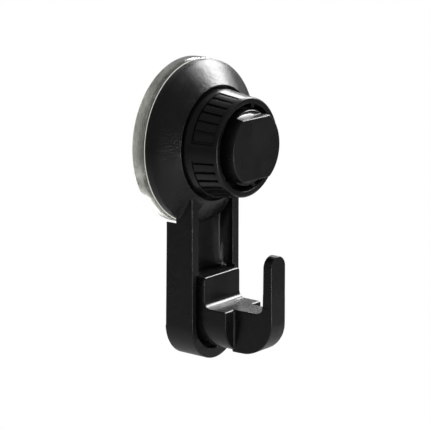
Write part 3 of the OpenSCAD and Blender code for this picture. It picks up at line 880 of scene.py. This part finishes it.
@dataclass
class GripKnob(Piece):
    """The knob: a turned shell with sunk grip panels, the ribs that stand in them and the ribs inside its ring."""

    flare: float = 2.2 * MM
    flange_l: float = 4.6 * MM
    collar_l: float = 1.3 * MM
    ring_wall: float = 2.2 * MM
    inner_draft: float = 0.3 * MM
    panels: int = 4
    panel_ribs: int = 6
    pitch_deg: float = 11.25
    end_deg: float = 3.0
    sink: float = 0.9 * MM
    rib_h: float = 0.8 * MM
    rib_w: float = 2.5 * MM
    rib_draft: float = 0.2 * MM
    web_sink: float = 6.35 * MM
    web_t: float = 1.8 * MM
    nut_r: float = 11.3 * MM
    nut_h: float = 2.0 * MM
    bore_r: float = 8.08 * MM
    pips: int = 5
    pip_start_deg: float = 73.0
    pip_w: float = 1.8 * MM
    pip_h: float = 1.35 * MM
    pip_drop: float = 1.2 * MM
    ring_edge: float = 0.9 * MM
    edge: float = 0.2 * MM
    ramp_deg: float = 0.9

    def __post_init__(self) -> None:
        """Takes the overall sizes from the frame."""
        low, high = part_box(self.node)
        self.rear_r = high.x
        self.front_r = self.rear_r - self.flare
        self.back = -high.y
        self.front = -low.y
        self.grip_back = self.back + self.flange_l
        self.grip_front = self.front - self.collar_l
        self.web_face = self.front - self.web_sink
        self.inner_r = self.front_r - self.ring_wall
        self.half_panel = math.radians(self.panel_ribs * self.pitch_deg + self.end_deg) / 2

    def outer_r(self, depth: float) -> float:
        """Radius of the knob's smooth surface at a depth."""
        return self.rear_r - self.flare * (depth - self.back) / (self.front - self.back)

    def panel_share(self, angle: float) -> float:
        """How much of the panel's depth is cut at an angle, from 0 on a lug to 1 in a panel."""
        pitch = math.tau / self.panels
        middle = (math.floor(angle / pitch) + 0.5) * pitch
        inside = self.half_panel - abs(angle - middle)
        share = min(max(inside / math.radians(self.ramp_deg) + 0.5, 0.0), 1.0)
        return share * share * (3 - 2 * share)

    def surface_r(self, r: float, depth: float, angle: float) -> float:
        """Radius of the knob at an outline point, with the panel faded out over a lug."""
        if not self.grip_back < depth < self.grip_front or r < self.outer_r(depth) - 1.5 * self.sink:
            return r
        return r + (self.outer_r(depth) - r) * (1 - self.panel_share(angle))

    def stations(self) -> list[float]:
        """Angles of the outline: even steps, with closer ones over each panel's ends."""
        angles = even_angles(180)
        pitch = math.tau / self.panels
        for panel in range(self.panels):
            for side in (-self.half_panel, self.half_panel):
                for step in range(-4, 5):
                    angles.append((panel + 0.5) * pitch + side + math.radians(self.ramp_deg) * step / 8)
        spaced = []
        for angle in sorted(angles):
            if not spaced or angle - spaced[-1] > math.radians(0.05):
                spaced.append(angle)
        return spaced

    def shell(self) -> bpy.types.Object:
        """Turns the knob's body with its four panels."""
        skirt_r = self.outer_r(self.web_face) - self.sink - self.ring_wall
        wall = 0.2 * MM
        corners = [
            (self.rear_r, self.back, self.edge),
            (self.outer_r(self.grip_back), self.grip_back, 0.0),
            (self.outer_r(self.grip_back) - self.sink, self.grip_back + wall, self.edge),
            (self.outer_r(self.grip_front) - self.sink, self.grip_front - wall, self.edge),
            (self.outer_r(self.grip_front), self.grip_front, 0.0),
            (self.front_r, self.front, self.ring_edge),
            (self.inner_r, self.front, 2 * self.edge),
            (self.inner_r - self.inner_draft, self.web_face, self.edge),
            (self.nut_r, self.web_face, self.edge),
            (self.nut_r, self.web_face + self.nut_h, self.edge),
            (self.bore_r, self.web_face + self.nut_h, self.edge),
            (self.bore_r, self.web_face - self.web_t, self.edge),
            (skirt_r, self.web_face - self.web_t, self.edge),
            (skirt_r + self.inner_draft, self.back, self.edge),
        ]
        mesh = revolve("knob_shell", rounded(corners, closed=True, steps=4), self.stations(), True, self.surface_r)
        smooth_shaded(mesh, 35.0)
        return new_piece("knob_shell", mesh)

    def grip_rib(self) -> Bar:
        """One rib of the grip, which stands on the panel's floor and follows the knob's taper."""
        return Bar(
            back=(self.outer_r(self.grip_back) - self.sink, self.grip_back + self.edge / 2),
            front=(self.outer_r(self.grip_front) - self.sink, self.grip_front - self.edge / 2),
            height=self.rib_h, width=self.rib_w, draft=self.rib_draft, edge=self.edge,
        )

    def ring_pip(self) -> Bar:
        """One rib on the inner wall of the ring, which points towards the axis."""
        return Bar(
            back=(self.inner_r - self.inner_draft, self.web_face - self.edge),
            front=(self.inner_r, self.front - self.pip_drop),
            height=-self.pip_h, width=self.pip_w, draft=0.0, edge=self.edge, end_l=self.edge, end_share=0.9,
        )

    def build(self) -> bpy.types.Object:
        """Builds the shell, the grip ribs and the ribs inside the ring, and settles them as one piece.

        Returns:
            The finished object.
        """
        material = self.finish.material()
        shell = self.shell()
        shell.data.materials.append(material)
        ribs = self.grip_rib().repeated(
            "grip_ribs", self.panels, self.panel_ribs, math.pi / self.panels, math.radians(self.pitch_deg), material
        )
        pips = self.ring_pip().repeated("ring_pips", self.pips, 1, math.radians(self.pip_start_deg), 0.0, material)
        piece = joined(self.name, [shell, ribs, pips])
        self.settle(piece, material)
        return piece


@dataclass
class Studio:
    """The pale floor, the soft lamps, the world and the camera."""

    azimuth_deg: float = -51.27
    elevation_deg: float = 12.86
    distance: float = 0.7136
    target: tuple[float, float, float] = (-0.00221, -0.015, -0.02582)
    lens_mm: float = 166.6
    floor_z: float = -0.18
    floor_r: float = 6.0
    backdrop_way: tuple[float, float, float] = (0.76, 0.52, 0.38)
    ambient: float = 0.15
    backdrop_level: float = 0.33

    def camera(self) -> None:
        """Places the camera at the photograph's angle."""
        azimuth = math.radians(self.azimuth_deg)
        elevation = math.radians(self.elevation_deg)
        back = Vector((
            math.sin(azimuth) * math.cos(elevation),
            -math.cos(azimuth) * math.cos(elevation),
            math.sin(elevation),
        ))
        data = bpy.data.cameras.new("camera")
        data.sensor_width = 36.0
        data.sensor_fit = "HORIZONTAL"
        data.lens = self.lens_mm
        data.clip_start = 0.01
        data.clip_end = 50.0
        data.dof.use_dof = False
        camera = bpy.data.objects.new("camera", data)
        camera.location = Vector(self.target) + back * self.distance
        camera.rotation_mode = "QUATERNION"
        camera.rotation_quaternion = (-back).to_track_quat("-Z", "Y")
        bpy.context.scene.collection.objects.link(camera)
        bpy.context.scene.camera = camera

    def softbox(
        self, name: str, way: Sequence[float], size: Point, radiance: float, reach: float = 1.0, spread_deg: float = 60.0
    ) -> None:
        """Hangs a rectangular lamp with a grid, which faces the object and keeps its light off the far floor.

        Args:
            name: The lamp's name.
            way: The direction of the lamp from the object.
            size: Its width and height.
            radiance: How bright its face is from straight ahead, where 1 is white.
            reach: Its distance.
            spread_deg: The angle over which its grid lets the light out.
        """
        data = bpy.data.lights.new(name, "AREA")
        data.shape = "RECTANGLE"
        data.size, data.size_y = size
        data.spread = math.radians(spread_deg)
        half = data.spread / 2
        gathered = math.tan(half) / (math.tan(half) - half)
        data.energy = radiance * math.pi * size[0] * size[1] / gathered
        lamp = bpy.data.objects.new(name, data)
        away = Vector(way).normalized()
        lamp.location = Vector(self.target) + away * reach
        lamp.rotation_mode = "QUATERNION"
        lamp.rotation_quaternion = away.to_track_quat("Z", "Y")
        bpy.context.scene.collection.objects.link(lamp)

    def world(self) -> None:
        """Fills the world: white to the eye and through clear plastic, dim elsewhere but for a pale backdrop."""
        world = bpy.data.worlds.new("studio")
        world.use_nodes = True
        bpy.context.scene.world = world
        tree = world.node_tree
        tree.nodes.clear()
        output = tree.nodes.new("ShaderNodeOutputWorld")
        background = tree.nodes.new("ShaderNodeBackground")
        background.inputs["Color"].default_value = (1.0, 1.0, 1.0, 1.0)
        tree.links.new(background.outputs[0], output.inputs["Surface"])
        way = tree.nodes.new("ShaderNodeTexCoord").outputs["Generated"]
        towards = tree.nodes.new("ShaderNodeVectorMath")
        towards.operation = "DOT_PRODUCT"
        tree.links.new(way, towards.inputs[0])
        towards.inputs[1].default_value = Vector(self.backdrop_way).normalized()
        lobe = tree.nodes.new("ShaderNodeMapRange")
        lobe.interpolation_type = "SMOOTHSTEP"
        tree.links.new(towards.outputs["Value"], lobe.inputs["Value"])
        lobe.inputs["From Min"].default_value = 0.55
        lobe.inputs["From Max"].default_value = 0.95
        lobe.inputs["To Min"].default_value = self.ambient
        lobe.inputs["To Max"].default_value = self.backdrop_level
        path = tree.nodes.new("ShaderNodeLightPath")
        seen = tree.nodes.new("ShaderNodeMath")
        seen.operation = "MAXIMUM"
        tree.links.new(path.outputs["Is Camera Ray"], seen.inputs[0])
        tree.links.new(path.outputs["Is Transmission Ray"], seen.inputs[1])
        level = tree.nodes.new("ShaderNodeMix")
        level.data_type = "FLOAT"
        tree.links.new(seen.outputs[0], level.inputs[0])
        tree.links.new(lobe.outputs[0], level.inputs[2])
        level.inputs[3].default_value = 1.0
        tree.links.new(level.outputs[0], background.inputs["Strength"])

    def floor(self) -> None:
        """Lays a pale floor that fades into the white of the world away from the object."""
        shape = bmesh.new()
        bmesh.ops.create_circle(shape, cap_ends=True, radius=self.floor_r, segments=64)
        mesh = bpy.data.meshes.new("floor")
        shape.to_mesh(mesh)
        shape.free()
        mesh.transform(Matrix.Translation((0.0, 0.0, self.floor_z)))
        floor = new_piece("floor", mesh)
        material = bpy.data.materials.new("floor")
        material.use_nodes = True
        tree = material.node_tree
        shader = tree.nodes["Principled BSDF"]
        shader.inputs["Base Color"].default_value = (0.50, 0.50, 0.50, 1.0)
        shader.inputs["Roughness"].default_value = 0.9
        place = tree.nodes.new("ShaderNodeTexCoord").outputs["Object"]
        distance = tree.nodes.new("ShaderNodeVectorMath")
        distance.operation = "LENGTH"
        tree.links.new(place, distance.inputs[0])
        fade = tree.nodes.new("ShaderNodeMapRange")
        fade.interpolation_type = "SMOOTHSTEP"
        tree.links.new(distance.outputs["Value"], fade.inputs["Value"])
        fade.inputs["From Min"].default_value = 0.19
        fade.inputs["From Max"].default_value = 0.24
        path = tree.nodes.new("ShaderNodeLightPath")
        seen = tree.nodes.new("ShaderNodeMath")
        seen.operation = "MAXIMUM"
        tree.links.new(path.outputs["Is Camera Ray"], seen.inputs[0])
        tree.links.new(path.outputs["Is Transmission Ray"], seen.inputs[1])
        share = tree.nodes.new("ShaderNodeMath")
        share.operation = "MULTIPLY"
        tree.links.new(seen.outputs[0], share.inputs[0])
        tree.links.new(fade.outputs[0], share.inputs[1])
        white = tree.nodes.new("ShaderNodeEmission")
        mix = tree.nodes.new("ShaderNodeMixShader")
        tree.links.new(share.outputs[0], mix.inputs[0])
        tree.links.new(shader.outputs[0], mix.inputs[1])
        tree.links.new(white.outputs[0], mix.inputs[2])
        tree.links.new(mix.outputs[0], tree.nodes["Material Output"].inputs["Surface"])
        floor.data.materials.append(material)

    def build(self) -> None:
        """Sets up everything round the object."""
        bpy.context.scene.view_settings.view_transform = "Standard"
        self.world()
        self.floor()
        self.softbox("key", (0.80, -0.22, 0.57), (0.42, 0.42), 27.0)
        self.softbox("rear", (0.76, 0.38, 0.53), (0.40, 0.24), 12.0)
        self.softbox("strip", (0.03, -0.98, -0.186), (0.065, 0.15), 14.0, reach=0.40)
        self.camera()


def main() -> None:
    """Builds each piece in order and reports it."""
    logging.basicConfig(level=logging.INFO, format="%(message)s")
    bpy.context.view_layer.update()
    housing = BlackMoulding("housing_black", "black_housing", Grain.SPARK_ERODED)
    knob = BlackMoulding("knob_black", "black_knob", Grain.SATIN)
    cap = BlackMoulding("cap_black", "black_cap", Grain.MATT, shade=0.013, smooth=0.26, rough=0.34)
    hook = BlackMoulding("hook_black", "black_hook", Grain.SATIN)
    spindle = BlackMoulding("spindle_black", "black_spindle", Grain.SATIN)
    SuctionPad("clear_suction_pad", BASE, "suction_pad", ClearElastomer()).build()
    Moulding("moulded_housing", BASE, "housing", housing).build()
    GripKnob("ribbed_knob", KNOB_BODY, "knob", knob).build()
    Moulding("flatted_cap", SPINDLE_BODY, "centre_cap", cap, SoftEdges(width=0.3 * MM)).build()
    Moulding("anchor_spindle", SPINDLE_BODY, "spindle", spindle).build()
    Moulding("shelf_hook", BASE, "hook", hook, FlowedEdges()).build()
    for end in ("upper", "lower"):
        Moulding(f"{end}_screw", BASE, f"hook_screw_{end}", ZincPlate(), SoftEdges(width=0.1 * MM)).build()
    Studio().build()


if __name__ == "__main__":
    main()
